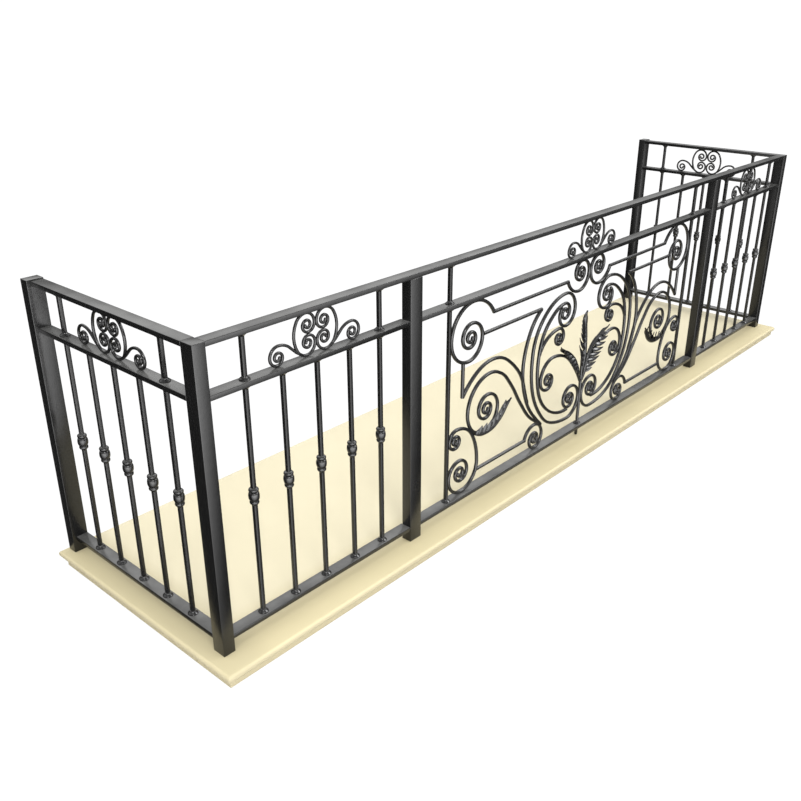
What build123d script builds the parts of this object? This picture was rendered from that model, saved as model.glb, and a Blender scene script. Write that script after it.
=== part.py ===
from build123d import *
from math import acos, atan2, cos, degrees, radians, sin, sqrt
import os

# Iron balcony railing on its moulded stone slab. Millimetres, +Z up. The front faces -Y,
# the house wall is at +Y, and the origin is the middle of the slab's underside.

# Plan of the railing, over the outer faces of its corner posts
railing_width = 3968.0
railing_depth = 882.0
mid_post_share = 0.2113

# Heights above the slab, and the clear height between the two upper rails
hand_rail_top = 1000.0
frieze_height = 139.0
bottom_rail_top = 61.0

# Flat bars of the three rails
rail_width = 43.0
rail_thickness = 16.0
front_rail_setback = 1.5

# Posts, each given along the front and away from it
corner_post_width = 42.0
corner_post_depth = 52.0
mid_post_width = 57.0
mid_post_depth = 40.0
wall_post_width = 57.0
wall_post_depth = 40.0
wall_post_rise = 4.0
wall_post_stand_out = 13.5

# Balusters: square bar, turned collars at the ends and a knuckle at mid height
bar = 13.0
baluster_pitch = 134.5
baluster_count = 5
collar_radius = 16.5
collar_height = 10.0
collar_neck_radius = 10.5
knuckle_height = 474.0
knuckle_radius = 17.0
knuckle_length = 54.0
knuckle_ring_radius = 15.0
knuckle_ring_length = 11.0

# Crest of curled bars between the hand rail and the middle rail
crest_bar = 9.0
crest_half_width = 85.5
crest_twin_overlap = 0.8
crest_curl_share = 0.57
crest_tail_reach = 177.5
crest_tail_share = 0.234

# Scrollwork of the middle bay
end_bar_clearance = 168.5
ring_radius = 125.0
ring_arch_radius = 138.0
ring_arch_turn = 60.5
hanging_curl_radius = 71.0
hanging_kink_radius = 93.0
scroll_shrink = 0.8
panel_squareness = 0.835
weld_gap = 0.3
stalk_point_clearance = 3.0
stalk_point_length = 12.0
stalk_point_taper = 4.5

# Slab: a bullnosed top course over a plain lower course
slab_side_overhang = 49.0
slab_front_overhang = 84.0
slab_back_overhang = 16.0
slab_top_thickness = 26.0
slab_nose_radius = 12.0
slab_lower_thickness = 24.0
slab_lower_inset = 12.0
slab_lower_back_inset = 34.0

half = bar / 2
slab_height = slab_top_thickness + slab_lower_thickness
slab_depth = slab_front_overhang + railing_depth + slab_back_overhang
slab_width = railing_width + 2 * slab_side_overhang

left_face = -railing_width / 2
front_face = slab_front_overhang - slab_depth / 2
back_face = front_face + railing_depth
front_rail_y = front_face + front_rail_setback + rail_width / 2
side_rail_x = left_face + rail_width / 2
mid_post_left = left_face + mid_post_share * railing_width
end_bar_offset = -(mid_post_left + mid_post_width + end_bar_clearance)
hand_rail_z = slab_height + hand_rail_top - rail_thickness
middle_rail_z = hand_rail_z - frieze_height - rail_thickness
bottom_rail_z = slab_height + bottom_rail_top - rail_thickness
panel_foot = bottom_rail_z + rail_thickness
panel_head = middle_rail_z
frieze_foot = middle_rail_z + rail_thickness
frieze_head = hand_rail_z

parts = {}


def block(x0, x1, y0, y1, z0, z1):
    """A plain bar or plate between two opposite corners."""
    size = Box(x1 - x0, y1 - y0, z1 - z0)
    return Pos((x0 + x1) / 2, (y0 + y1) / 2, (z0 + z1) / 2) * size


def flip(shape):
    """The same piece on the other side of the railing's middle."""
    return mirror(shape, about=Plane.YZ)


# Slab
def slab_top():
    plate = block(
        -slab_width / 2,
        slab_width / 2,
        -slab_depth / 2,
        slab_depth / 2,
        slab_lower_thickness,
        slab_height,
    )
    edges = plate.faces().sort_by(Axis.Z)[-1].edges() + plate.faces().sort_by(Axis.Z)[0].edges()
    return fillet(edges, slab_nose_radius)


def slab_lower():
    across = slab_width / 2 - slab_lower_inset
    front = -slab_depth / 2 + slab_lower_inset
    back = slab_depth / 2 - slab_lower_back_inset
    return block(-across, across, front, back, 0, slab_lower_thickness)


parts["slab_top"] = slab_top()
parts["slab_lower"] = slab_lower()


# Posts
def corner_post():
    x0, y0 = left_face, front_face
    top = slab_height + hand_rail_top
    return block(x0, x0 + corner_post_width, y0, y0 + corner_post_depth, slab_height, top)


def mid_post():
    x0, y0 = mid_post_left, front_face
    return block(x0, x0 + mid_post_width, y0, y0 + mid_post_depth, slab_height, hand_rail_z)


def wall_post():
    x0 = left_face - wall_post_stand_out
    y0 = back_face - wall_post_depth
    top = slab_height + hand_rail_top + wall_post_rise
    return block(x0, x0 + wall_post_width, y0, back_face, slab_height, top)


for name, post in (("corner_post", corner_post()), ("mid_post", mid_post()), ("wall_post", wall_post())):
    parts[name + "_left"] = post
    parts[name + "_right"] = flip(post)


# Rails
def front_rail(x0, x1, z):
    y0 = front_face + front_rail_setback
    return block(x0, x1, y0, y0 + rail_width, z, z + rail_thickness)


def side_rail(z):
    y0 = front_face + corner_post_depth
    return block(left_face, left_face + rail_width, y0, back_face - wall_post_depth, z, z + rail_thickness)


bay_start = left_face + corner_post_width
bay_end = mid_post_left
centre_start = mid_post_left + mid_post_width

parts["hand_rail_front"] = front_rail(bay_start, -bay_start, hand_rail_z)
parts["hand_rail_side_left"] = side_rail(hand_rail_z)
parts["hand_rail_side_right"] = flip(side_rail(hand_rail_z))
for level, z in (("middle_rail", middle_rail_z), ("bottom_rail", bottom_rail_z)):
    parts[level + "_centre"] = front_rail(centre_start, -centre_start, z)
    parts[level + "_front_left"] = front_rail(bay_start, bay_end, z)
    parts[level + "_front_right"] = flip(front_rail(bay_start, bay_end, z))
    parts[level + "_side_left"] = side_rail(z)
    parts[level + "_side_right"] = flip(side_rail(z))


# Balusters
def turned(points):
    """A collar or knuckle turned about the bar's axis, from (radius, height) points."""
    low, high = points[0][1], points[-1][1]
    outline = Polyline((0, low), *points, (0, high), close=True)
    return revolve(Plane.XZ * make_face(outline), Axis.Z)


def collar():
    """Bell-shaped collar that stands on its wide end at height zero."""
    return turned([(collar_radius, 0), (collar_neck_radius, collar_height)])


def knuckle():
    end = knuckle_length / 2
    waist = end - knuckle_ring_length
    return turned(
        [
            (knuckle_ring_radius, -end),
            (knuckle_ring_radius, -waist),
            (knuckle_radius, -waist),
            (knuckle_radius, waist),
            (knuckle_ring_radius, waist),
            (knuckle_ring_radius, end),
        ]
    )


def spindle(foot, head):
    """Square bar with a collar standing at its foot and one hanging at its head."""
    piece = block(-half, half, -half, half, foot, head)
    piece += Pos(0, 0, foot) * collar()
    piece += Pos(0, 0, head) * mirror(collar(), about=Plane.XY)
    return piece


def baluster():
    return spindle(panel_foot, panel_head) + Pos(0, 0, slab_height + knuckle_height) * knuckle()


def baluster_row():
    """The balusters of one bay and the two short spindles over its end ones, about x = 0."""
    reach = (baluster_count - 1) / 2 * baluster_pitch
    places = [i * baluster_pitch - reach for i in range(baluster_count)]
    pieces = [Pos(x, 0, 0) * baluster() for x in places]
    pieces += [Pos(x, 0, 0) * spindle(frieze_foot, frieze_head) for x in (places[0], places[-1])]
    return pieces


front_bay_middle = (left_face + corner_post_width / 2 + mid_post_left + mid_post_width / 2) / 2
side_bay_middle = (front_face + corner_post_depth + back_face - wall_post_depth) / 2
on_front = Pos(front_bay_middle, front_rail_y, 0)
on_side = Pos(side_rail_x, side_bay_middle, 0) * Rot(0, 0, -90)

for name, place in (("front", on_front), ("side", on_side)):
    row = Compound(children=[place * piece for piece in baluster_row()])
    parts[f"balusters_{name}_left"] = row
    parts[f"balusters_{name}_right"] = flip(row)


# Bent bars. A path is a list of steps (x, z, heading, size, turn) in the upright plane of
# the panel: an arc of radius size that turns by turn degrees, or a straight of length size.
def end_of(step, share=1):
    """Where a step, or a share of it, ends: x, z and heading."""
    x, z, heading, size, turn = step
    if not turn:
        reach = size * share
        return x + reach * cos(radians(heading)), z + reach * sin(radians(heading)), heading
    side = 90 if turn > 0 else -90
    cx = x + size * cos(radians(heading + side))
    cz = z + size * sin(radians(heading + side))
    away = radians(heading - side + turn * share)
    return cx + size * cos(away), cz + size * sin(away), heading + turn * share


def follow(x, z, heading, bends):
    """A smooth path from a point through bends of (size, turn)."""
    path = []
    for size, turn in bends:
        path.append((x, z, heading, size, turn))
        x, z, heading = end_of(path[-1])
    return path


def curl(x, z, heading, radius, quarters, spin):
    """A volute wound inwards by quarter turns that each shrink, from its outer end."""
    bends = [(radius * scroll_shrink**i, 90 * spin) for i in range(quarters)]
    return follow(x, z, heading, bends)


def backwards(path):
    steps = []
    for step in reversed(path):
        x, z, heading = end_of(step)
        steps.append((x, z, heading + 180, step[3], -step[4]))
    return steps


def arc_to(x, z, heading, to_x, to_z):
    """The arc that leaves a point along heading and reaches another point."""
    across = (to_z - z) * cos(radians(heading)) - (to_x - x) * sin(radians(heading))
    ahead = (to_x - x) * cos(radians(heading)) + (to_z - z) * sin(radians(heading))
    if abs(across) < 1e-6:
        return (x, z, heading, ahead, 0)
    radius = (across**2 + ahead**2) / (2 * abs(across))
    return (x, z, heading, radius, 2 * degrees(atan2(across, ahead)))


def ease(x, z, heading, to_x, to_z, to_heading):
    """Two arcs that join two points and meet the heading given at each."""
    ax, az = cos(radians(heading)), sin(radians(heading))
    bx, bz = cos(radians(to_heading)), sin(radians(to_heading))
    dx, dz = to_x - x, to_z - z
    spread = 1 - (ax * bx + az * bz)
    along = dx * (ax + bx) + dz * (az + bz)
    chord = dx * dx + dz * dz
    if spread < 1e-6:
        reach = chord / (2 * along)
    else:
        reach = (sqrt(along**2 + 2 * spread * chord) - along) / (2 * spread)
    mx = (x + reach * ax + to_x - reach * bx) / 2
    mz = (z + reach * az + to_z - reach * bz) / 2
    first = arc_to(x, z, heading, mx, mz)
    return [first, arc_to(mx, mz, end_of(first)[2], to_x, to_z)]


def through(points, heading, to_heading):
    """A smooth path through points, by pairs of arcs."""
    turns = [heading]
    for (ax, az), (bx, bz), (cx, cz) in zip(points, points[1:], points[2:]):
        into = degrees(atan2(bz - az, bx - ax))
        out = into + (degrees(atan2(cz - bz, cx - bx)) - into + 180) % 360 - 180
        over = into + (degrees(atan2(cz - az, cx - ax)) - into + 180) % 360 - 180
        turns.append(into + out - over)
    turns.append(to_heading)
    path = []
    for i in range(len(points) - 1):
        path += ease(*points[i], turns[i], *points[i + 1], turns[i + 1])
    return path


def beside(step, share, offset):
    """The point at a share of a step, offset to the left of the way along it."""
    x, z, heading = end_of(step, share)
    return x - offset * sin(radians(heading)), z + offset * cos(radians(heading))


def edge_beside(step, offset):
    ends = [beside(step, share, offset) for share in (0, 0.5, 1)]
    return ThreePointArc(*ends) if step[4] else Line(ends[0], ends[2])


def strip(path, width, round_start=False, round_end=False):
    """The flat outline of a bar of one width that follows a smooth path."""
    h = width / 2
    sides = [edge_beside(step, offset) for offset in (h, -h) for step in path]
    for step, share, rounded in ((path[0], 0, round_start), (path[-1], 1, round_end)):
        left, right = beside(step, share, h), beside(step, share, -h)
        if rounded:
            x, z = beside(step, share, 0)
            way = radians((end_of(path[-1])[2]) if share else path[0][2] + 180)
            sides.append(ThreePointArc(left, (x + h * cos(way), z + h * sin(way)), right))
        else:
            sides.append(Line(left, right))
    return make_face(Curve() + sides)


def mitre(before, after, width):
    """The outer corner where one path ends and the next leaves at an angle."""
    x, z, h1 = end_of(before[-1])
    h2 = after[0][2]
    turn = (h2 - h1 + 180) % 360 - 180
    side = -90 if turn > 0 else 90
    h = width / 2
    a = (x + h * cos(radians(h1 + side)), z + h * sin(radians(h1 + side)))
    b = (x + h * cos(radians(h2 + side)), z + h * sin(radians(h2 + side)))
    reach = h / cos(radians(turn / 2))
    tip_way = radians(h1 + turn / 2 + side)
    tip = (x + reach * cos(tip_way), z + reach * sin(tip_way))
    return make_face(Polyline((x, z), a, tip, b, close=True))


def bent_bar(paths, width, round_start=False, round_end=False):
    """The outline of a bar bent along smooth paths that meet at sharp corners."""
    last = len(paths) - 1
    shape = None
    for i, path in enumerate(paths):
        piece = strip(path, width, round_start and i == 0, round_end and i == last)
        shape = piece if shape is None else shape + piece
    for before, after in zip(paths, paths[1:]):
        shape += mitre(before, after, width)
    return shape


def forged(shape, depth, y):
    """The flat outline given its depth, centred on y."""
    return Pos(0, y, 0) * extrude(Plane.XZ * shape, depth / 2, both=True)


# Crest
def crest_shape():
    """Two C scrolls back to back with a tailed curl each side, about x = 0."""
    h = crest_bar / 2
    low = frieze_foot + weld_gap + h
    high = frieze_head - weld_gap - h
    middle = (low + high) / 2
    room = middle - low - h - weld_gap
    first = crest_curl_share * room
    top_x = crest_twin_overlap / 2 - h - first
    top_curl = curl(top_x, high, 0, first, 1, -1)
    top_curl += curl(*end_of(top_curl[-1]), room - first, 4, -1)
    low_curl = curl(top_x, low, 0, first, 1, 1)
    low_curl += curl(*end_of(low_curl[-1]), room - first, 4, 1)
    back = ease(top_x, high, 180, -crest_half_width, middle, 270)
    back += ease(-crest_half_width, middle, 270, top_x, low, 360)
    shape = strip(backwards(top_curl) + back + low_curl, crest_bar, True, True)
    tail_radius = crest_tail_share * frieze_height
    tail_x = -crest_tail_reach + tail_radius
    tail_top = low + tail_radius * (1 + scroll_shrink)
    joint_x, joint_z, along = end_of(back[-1], 0.6)
    tail = backwards(curl(tail_x, tail_top, 180, tail_radius, 5, 1))
    tail += ease(tail_x, tail_top, 0, joint_x, joint_z, along - 5)
    shape += strip(tail, crest_bar, True)
    return shape + mirror(shape, about=Plane.YZ)


def crest():
    return forged(crest_shape(), crest_bar, 0)


parts["crest_centre"] = Pos(0, front_rail_y, 0) * crest()
parts["crest_front_left"] = on_front * crest()
parts["crest_front_right"] = flip(on_front * crest())
parts["crest_side_left"] = on_side * crest()
parts["crest_side_right"] = flip(on_side * crest())


# Middle bay: end bars, with their short spindles, and the scrollwork between them
def end_bar():
    """Full-height bar at the end of the middle bay and the short spindle over it."""
    pieces = [spindle(panel_foot, panel_head), spindle(frieze_foot, frieze_head)]
    return Compound(children=[Pos(-end_bar_offset, front_rail_y, 0) * piece for piece in pieces])


parts["end_bar_left"] = end_bar()
parts["end_bar_right"] = flip(end_bar())

# Lines that the scrolls' centrelines touch: beside the end bar, under the middle rail,
# on the bottom rail and beside the stalk
touch_left = -end_bar_offset + bar + weld_gap
touch_top = panel_head - weld_gap - half
touch_foot = panel_foot + weld_gap + half
touch_stalk = -bar - weld_gap
touch_middle = -half - weld_gap
patterns = {}


def weld(name, shape):
    """Keeps a scroll's outline, cut back where it meets the ones made before it."""
    for other in patterns.values():
        shape -= other
    patterns[name] = max(shape.faces(), key=lambda face: face.area)


def at(across, up):
    """A point of the panel, as percentages of its half width from the middle and its height."""
    return -end_bar_offset * across / 100, panel_foot + (panel_head - panel_foot) * up / 100


def tall(share):
    """A length as a percentage of the panel's height, or of its width where that is tighter."""
    return min(panel_head - panel_foot, panel_squareness * end_bar_offset) * share / 100


def heading_at(path):
    return end_of(path[-1])


def ring_scroll():
    """Ring volute, arch, long straight bar and the curl that hangs under the middle rail."""
    top_x = touch_left + ring_radius
    arch = backwards(curl(top_x, touch_top, 180, ring_radius, 8, 1))
    arch += follow(top_x, touch_top, 0, [(ring_arch_radius, -ring_arch_turn)])
    kink_x, kink_z, _ = end_of(arch[-1])
    base_x = touch_middle - hanging_curl_radius
    base_z = touch_top - hanging_curl_radius * (1 + scroll_shrink)
    turn = degrees(acos(1 - (kink_z - base_z) / hanging_kink_radius))
    turn_x = base_x - hanging_kink_radius * sin(radians(turn))
    straight = [(kink_x, kink_z, 0, turn_x - kink_x, 0)]
    low = follow(turn_x, kink_z, -turn, [(hanging_kink_radius, turn)])
    low += curl(base_x, base_z, 0, hanging_curl_radius, 7, 1)
    return bent_bar([arch, straight, low], bar, True, True)


def s_scroll():
    """Flat second bar, the outer and the inner S that run together, and the inner volute."""
    tip = at(37.4, 80.9)
    flat = [(*at(80, 80.9), 0, tip[0] - at(80, 0)[0], 0)]
    side = through([tip, at(48.7, 57.2), at(44.9, 31.1), at(33, 14)], 214, -43)
    shape = bent_bar([flat, side], bar)
    spear = at(90.9, 52.3)
    upright = [(spear[0], at(0, 70)[1], 270, at(0, 70)[1] - spear[1], 0)]
    outer = through([spear, at(71.3, 65.4), at(52.6, 52.2), at(44.5, 31.1)], 52, -67)
    shape += bent_bar([upright, outer], bar)
    eye = at(87.1, 41.5)
    inner = backwards(curl(*eye, 270, tall(13.6), 8, 1))
    inner += through([eye, at(71.3, 58.5), at(56.1, 44.1), at(42.1, 21.5), at(31, 12)], 90, -35)
    shape += bent_bar([inner], bar, True)
    base_x, base_z = eye[0] + tall(13.6), eye[1] - tall(13.6)
    right_x, right_z = base_x + tall(10.9), base_z + tall(10.9)
    under = ThreePointArc(
        (base_x - tall(7), base_z + tall(2)), (base_x, base_z), (right_x, right_z)
    )
    tip = at(58.5, 40.2)
    leaf = [
        under,
        Line((right_x, right_z), tip),
        ThreePointArc(tip, at(61.5, 35), at(66.8, 27.6)),
        ThreePointArc(at(66.8, 27.6), at(73.5, 25.3), (base_x - tall(7), base_z + tall(2))),
    ]
    return shape + make_face(Curve() + leaf)


def lyre_scroll():
    """Outer and inner bar of the lyre, each with its volutes, and the hook between them."""
    top = at(18.8, 84)
    turned_in = curl(*top, 0, tall(10.3), 3, -1)
    turned_in += follow(*heading_at(turned_in), [(tall(5.3), -50)])
    outer = backwards(turned_in)
    outer += through([top, at(38.5, 70.2), at(42.4, 48), at(36.5, 24.6), at(24.5, 10.7)], 180, -22)
    base = at(10.4, 7.5)
    outer += ease(*at(24.5, 10.7), -22, *base, 0)
    outer += curl(*base, 0, tall(10.7), 7, 1)
    shape = bent_bar([outer], bar, True, True)
    top = at(18.8, 78.5)
    inner = backwards(curl(*top, 0, tall(4.8), 5, -1))
    inner += through([top, at(31.8, 70.2), at(37.7, 48), at(31.8, 24.6), at(10.8, 13.4)], 180, 4)
    shape += bent_bar([inner], bar, True)
    crown = at(22.6, 65.5)
    hook = ease(*at(37, 55), 68, *crown, 0)
    hook += curl(*crown, 0, tall(5.1), 6, -1)
    return shape + bent_bar([hook], bar, False, True)


def middle_scroll():
    """C scroll that springs from the stalk, with the leaf that wraps its start."""
    crown = at(25.5, 50.1)
    path = ease(*at(0.6, 27.1), 120, *crown, 180)
    path += curl(*crown, 180, tall(11.1), 1, 1)
    path += curl(*end_of(path[-1]), tall(6.5), 1, 1)
    path += curl(*end_of(path[-1]), tall(4.7), 5, 1)
    shape = bent_bar([path], bar, False, True)
    tip = at(21.1, 54.3)
    leaf = [
        ThreePointArc(at(3, 36.5), at(10, 47), tip),
        ThreePointArc(tip, at(14, 41.8), at(4.2, 33.8)),
        Line(at(4.2, 33.8), at(3, 36.5)),
    ]
    return shape + make_face(Curve() + leaf)


def corner_scroll():
    """C scroll in the lower corner, with a volute against the end bar at each end."""
    top_radius, low_radius = tall(5.4), tall(12.4)
    top = (touch_left + top_radius, at(0, 36.5)[1])
    low = (touch_left + low_radius * scroll_shrink, touch_foot)
    back = (low[0] + low_radius, touch_foot + low_radius)
    path = backwards(curl(*top, 180, top_radius, 5, 1))
    path += ease(*top, 0, *back, 270)
    path += curl(*back, 270, low_radius, 7, -1)
    return bent_bar([path], bar, True, True)


def foot_scroll():
    """Low bar from the corner scroll, and the curl it ends in."""
    radius = tall(7.9)
    right = at(31.3, 0)[0]
    crown = (right - radius, touch_foot + radius * (1 + scroll_shrink))
    low_z = at(0, 8.5)[1]
    kink_radius = tall(8.7)
    turn = degrees(acos(1 - (crown[1] - low_z) / kink_radius))
    kink_x = crown[0] - kink_radius * sin(radians(turn))
    start = at(81, 0)[0]
    flat = [(start, low_z, 0, kink_x - start, 0)]
    rise = follow(kink_x, low_z, turn, [(kink_radius, -turn)])
    rise += curl(*crown, 0, radius, 6, -1)
    return bent_bar([flat, rise], bar, False, True)


def stalk_shape():
    """Middle stalk with its upright leaf, whose tip curls over."""
    low, high = panel_foot + weld_gap, at(0, 38)[1]
    tip = at(-1, 68.7)
    rod = make_face(Polyline((-half, low), (half, low), (half, high), (-half, high), close=True))
    leaf = [
        Line((half, high), (-half, at(0, 34)[1])),
        ThreePointArc((-half, at(0, 34)[1]), at(4.8, 51), at(3.9, 64)),
        ThreePointArc(at(3.9, 64), at(2.2, 67.6), tip),
        ThreePointArc(tip, at(-2.4, 52), (half, high)),
    ]
    return rod + make_face(Curve() + leaf)


weld("stalk", stalk_shape())
weld("ring_scroll", ring_scroll())
weld("corner_scroll", corner_scroll())
weld("foot_scroll", foot_scroll())
weld("lyre_scroll", lyre_scroll())
weld("s_scroll", s_scroll())
weld("middle_scroll", middle_scroll())

def stalk_point():
    """Point of the stalk where it comes out under the bottom rail."""
    low = slab_height + stalk_point_clearance
    rod = block(-half, half, front_rail_y - half, front_rail_y + half, low, bottom_rail_z)
    edges = rod.faces().sort_by(Axis.Z)[0].edges()
    return chamfer(edges, stalk_point_length, stalk_point_taper)


parts["stalk"] = Compound(children=[forged(patterns.pop("stalk"), bar, front_rail_y), stalk_point()])
for name, shape in patterns.items():
    piece = forged(shape, bar, front_rail_y)
    parts[name + "_left"] = piece
    parts[name + "_right"] = flip(piece)

os.makedirs("parts", exist_ok=True)
for name, shape in parts.items():
    export_step(shape, f"parts/{name}.step")
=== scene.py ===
from math import acos, atan2, cos, degrees, hypot, pi, radians, sin, sqrt

import bmesh
import bpy
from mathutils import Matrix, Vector


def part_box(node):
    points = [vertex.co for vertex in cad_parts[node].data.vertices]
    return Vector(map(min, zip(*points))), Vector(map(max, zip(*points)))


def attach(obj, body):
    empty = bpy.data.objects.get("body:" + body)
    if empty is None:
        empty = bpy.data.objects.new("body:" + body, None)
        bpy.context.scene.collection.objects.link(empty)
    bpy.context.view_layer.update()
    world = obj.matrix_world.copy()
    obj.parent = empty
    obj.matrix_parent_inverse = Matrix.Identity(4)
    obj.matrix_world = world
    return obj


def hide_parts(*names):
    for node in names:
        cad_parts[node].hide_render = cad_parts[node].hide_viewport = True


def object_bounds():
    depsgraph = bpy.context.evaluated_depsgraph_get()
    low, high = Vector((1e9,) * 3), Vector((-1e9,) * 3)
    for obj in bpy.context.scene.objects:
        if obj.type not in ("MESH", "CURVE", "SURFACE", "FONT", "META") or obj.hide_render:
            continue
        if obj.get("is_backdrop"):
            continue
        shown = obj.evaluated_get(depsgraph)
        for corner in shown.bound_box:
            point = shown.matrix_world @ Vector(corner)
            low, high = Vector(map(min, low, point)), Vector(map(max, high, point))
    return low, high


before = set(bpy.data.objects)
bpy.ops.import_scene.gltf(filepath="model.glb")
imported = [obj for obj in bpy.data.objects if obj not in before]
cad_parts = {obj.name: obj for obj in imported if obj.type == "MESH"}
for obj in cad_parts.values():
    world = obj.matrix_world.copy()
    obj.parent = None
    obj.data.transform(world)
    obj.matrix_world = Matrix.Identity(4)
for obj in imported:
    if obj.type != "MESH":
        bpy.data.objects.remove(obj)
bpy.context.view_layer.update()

# Levels and faces that the dressed pieces are set out from
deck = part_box("slab_top")[1].z
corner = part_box("corner_post_left")[0]
panel_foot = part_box("bottom_rail_centre")[1].z
panel_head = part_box("middle_rail_centre")[0].z
frieze_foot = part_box("middle_rail_centre")[1].z
frieze_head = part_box("hand_rail_front")[0].z
bar = 0.013
half = bar / 2
seat = 0.0003  # room for the weld between a scroll and what it stands on


# IRON PAINT
# Satin black oil paint, brushed on over forged iron: a faint unevenness in the
# sheen, a light film of dust with painted top light on what faces up, and hammer dimples under it
# all.
def brushed_paint_group():
    group = bpy.data.node_groups.new("Brushed paint", "ShaderNodeTree")
    group.interface.new_socket("Scale", in_out="INPUT", socket_type="NodeSocketFloat")
    group.interface.new_socket("Sheen", in_out="OUTPUT", socket_type="NodeSocketFloat")
    group.interface.new_socket("Dust and top light", in_out="OUTPUT", socket_type="NodeSocketFloat")
    group.interface.new_socket("Dimples", in_out="OUTPUT", socket_type="NodeSocketFloat")
    n, link = group.nodes, group.links.new
    given, out = n.new("NodeGroupInput"), n.new("NodeGroupOutput")
    place = n.new("ShaderNodeTexCoord")
    coarse, fine, geometry = (
        n.new("ShaderNodeTexNoise"), n.new("ShaderNodeTexNoise"), n.new("ShaderNodeNewGeometry")
    )
    coarse.inputs["Detail"].default_value = 3
    fine.inputs["Detail"].default_value = 2
    link(place.outputs["Object"], coarse.inputs["Vector"])
    link(place.outputs["Object"], fine.inputs["Vector"])
    link(given.outputs["Scale"], coarse.inputs["Scale"])
    finer = n.new("ShaderNodeMath")
    finer.operation = "MULTIPLY"
    finer.inputs[1].default_value = 7
    link(given.outputs["Scale"], finer.inputs[0])
    link(finer.outputs[0], fine.inputs["Scale"])
    up = n.new("ShaderNodeSeparateXYZ")
    link(geometry.outputs["Normal"], up.inputs[0])
    # Faces turned up: where dust lies, and where painted top light lightens the paint
    dust_and_top_light_mask = n.new("ShaderNodeMapRange")
    dust_and_top_light_mask.inputs["From Min"].default_value = 0.85
    link(up.outputs["Z"], dust_and_top_light_mask.inputs["Value"])
    dust_and_top_light = n.new("ShaderNodeMath")
    dust_and_top_light.operation = "MULTIPLY"
    link(dust_and_top_light_mask.outputs[0], dust_and_top_light.inputs[0])
    link(coarse.outputs[0], dust_and_top_light.inputs[1])
    link(coarse.outputs[0], out.inputs["Sheen"])
    link(dust_and_top_light.outputs[0], out.inputs["Dust and top light"])
    link(fine.outputs[0], out.inputs["Dimples"])
    return group


def mixed(tree, fac, a, b):
    """A colour between a and b, by a value socket."""
    mix = tree.nodes.new("ShaderNodeMix")
    mix.data_type = "RGBA"
    mix.inputs["A"].default_value = (*a, 1)
    mix.inputs["B"].default_value = (*b, 1)
    tree.links.new(fac, mix.inputs["Factor"])
    return mix.outputs["Result"]


def ranged(tree, value, low, high):
    """A value socket stretched to run from low to high."""
    node = tree.nodes.new("ShaderNodeMapRange")
    node.inputs["To Min"].default_value = low
    node.inputs["To Max"].default_value = high
    tree.links.new(value, node.inputs["Value"])
    return node.outputs["Result"]


iron = bpy.data.materials.new("iron_paint")
iron.use_nodes = True
tree = iron.node_tree
paint = tree.nodes["Principled BSDF"]
brushed = tree.nodes.new("ShaderNodeGroup")
brushed.node_tree = brushed_paint_group()
brushed.inputs["Scale"].default_value = 9
# Dust and painted top light: the base colour turns lighter on upward faces, which stands in for
# the light on the tops of the rails
tree.links.new(
    mixed(tree, brushed.outputs["Dust and top light"], (0.004, 0.004, 0.004), (0.16, 0.16, 0.155)),
    paint.inputs["Base Color"],
)
tree.links.new(ranged(tree, brushed.outputs["Sheen"], 0.17, 0.32), paint.inputs["Roughness"])
paint.inputs["IOR"].default_value = 1.5
bump = tree.nodes.new("ShaderNodeBump")
bump.inputs["Strength"].default_value = 0.12
bump.inputs["Distance"].default_value = 0.002
tree.links.new(brushed.outputs["Dimples"], bump.inputs["Height"])
tree.links.new(bump.outputs["Normal"], paint.inputs["Normal"])

# CAST STONE
# Warm buff cast stone, nearly smooth, with a soft cloudiness and a fine grain. It is palest
# inside the railing; painted shade darkens and yellows the strips outside it and darkens the
# upright faces most.
stone = bpy.data.materials.new("cast_stone")
stone.use_nodes = True
tree = stone.node_tree
body = tree.nodes["Principled BSDF"]
place = tree.nodes.new("ShaderNodeTexCoord")
cloud, grain = tree.nodes.new("ShaderNodeTexNoise"), tree.nodes.new("ShaderNodeTexNoise")
cloud.inputs["Scale"].default_value = 2.2
cloud.inputs["Detail"].default_value = 5
grain.inputs["Scale"].default_value = 260
tree.links.new(place.outputs["Object"], cloud.inputs["Vector"])
tree.links.new(place.outputs["Object"], grain.inputs["Vector"])
across = tree.nodes.new("ShaderNodeSeparateXYZ")
facing = tree.nodes.new("ShaderNodeSeparateXYZ")
tree.links.new(place.outputs["Object"], across.inputs[0])
tree.links.new(tree.nodes.new("ShaderNodeNewGeometry").outputs["Normal"], facing.inputs[0])
tone_with_painted_shade = mixed(tree, cloud.outputs[0], (0.54, 0.49, 0.345), (0.64, 0.585, 0.42))
# Painted shade on the strip in front, the strip on the left, and the upright faces: what a zone is
# told by, where it starts and is full, and its darker and lighter tone
for axis, told_by, start, end, a, b in (
    ("Y", across, corner.y + 0.16, corner.y + 0.03, (0.48, 0.42, 0.25), (0.57, 0.50, 0.31)),
    ("X", across, corner.x + 0.14, corner.x + 0.03, (0.42, 0.37, 0.225), (0.50, 0.44, 0.275)),
    ("Z", facing, 0.85, 0.3, (0.36, 0.315, 0.20), (0.42, 0.37, 0.235)),
):
    painted_shade, other = tree.nodes.new("ShaderNodeMapRange"), tree.nodes.new("ShaderNodeMix")
    painted_shade.inputs["From Min"].default_value, painted_shade.inputs["From Max"].default_value = start, end
    tree.links.new(told_by.outputs[axis], painted_shade.inputs["Value"])
    other.data_type = "RGBA"
    tree.links.new(painted_shade.outputs["Result"], other.inputs["Factor"])
    tree.links.new(tone_with_painted_shade, other.inputs["A"])
    tree.links.new(mixed(tree, cloud.outputs[0], a, b), other.inputs["B"])
    tone_with_painted_shade = other.outputs["Result"]
tree.links.new(tone_with_painted_shade, body.inputs["Base Color"])
body.inputs["Roughness"].default_value = 0.62
bump = tree.nodes.new("ShaderNodeBump")
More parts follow.
